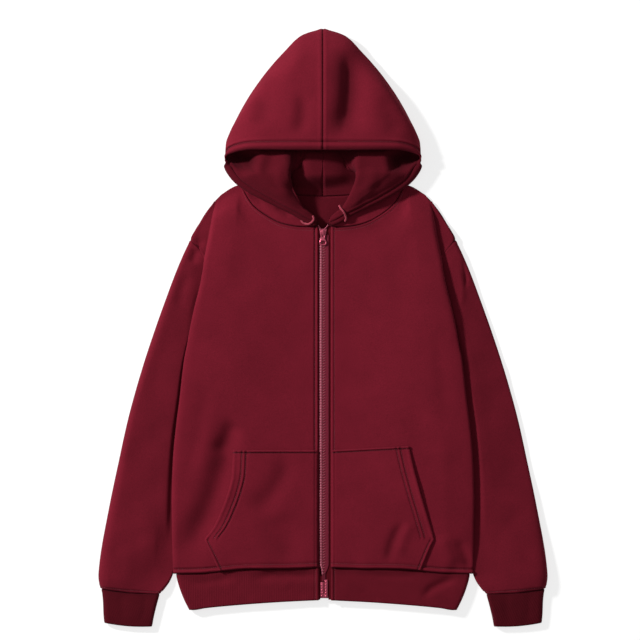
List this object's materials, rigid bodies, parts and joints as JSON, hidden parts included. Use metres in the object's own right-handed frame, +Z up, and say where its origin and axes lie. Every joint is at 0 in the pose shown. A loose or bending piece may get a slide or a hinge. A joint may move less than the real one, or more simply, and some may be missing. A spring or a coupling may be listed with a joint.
{
  "type": "zip up hoodie",
  "caption": "Fleece zip up hoodie laid flat on its back, zip closed, with hood, kangaroo pockets, rib cuffs and a rib hem band.",
  "frame": {"origin": "centre of the underside of the whole thing as laid, on the surface it lies on", "axes": "+X towards the wearer's left sleeve, which is on the right as seen from above; +Y from the hem towards the hood; +Z up, away from the surface"},
  "size_m": [0.7346, 0.9822, 0.05],
  "materials": {
    "fleece": "matte brushed fleece, deep burgundy",
    "rib": "matte rib knit, burgundy",
    "zip_tape": "woven tape, burgundy",
    "zip_chain": "moulded teeth, burgundy",
    "zip_metal": "lacquered metal, rose burgundy",
    "drawcord": "flat woven cord, burgundy"
  },
  "bodies": {
    "garment": {"front_left": "fleece", "front_right": "fleece", "back": "fleece", "sleeve_left": "fleece", "sleeve_right": "fleece", "hood_left": "fleece", "hood_right": "fleece", "pocket_left": "fleece", "pocket_right": "fleece", "cuff_left": "rib", "cuff_right": "rib", "hem_band": "rib", "zip_tape_left": "zip_tape", "zip_tape_right": "zip_tape", "zip_chain": "zip_chain", "zip_box": "zip_metal", "zip_slider": "zip_metal", "drawcord_left": "drawcord", "drawcord_right": "drawcord"},
    "pull_tab": {"pull_tab": "zip_metal"}
  },
  "joints": [
    {"name": "pull_tab_hinge", "type": "hinge", "parent": "garment", "child": "pull_tab", "pos_m": [0, 0.15745, 0.012], "axis": [-1, 0, 0], "range_deg": [0, 150]}
  ]
}
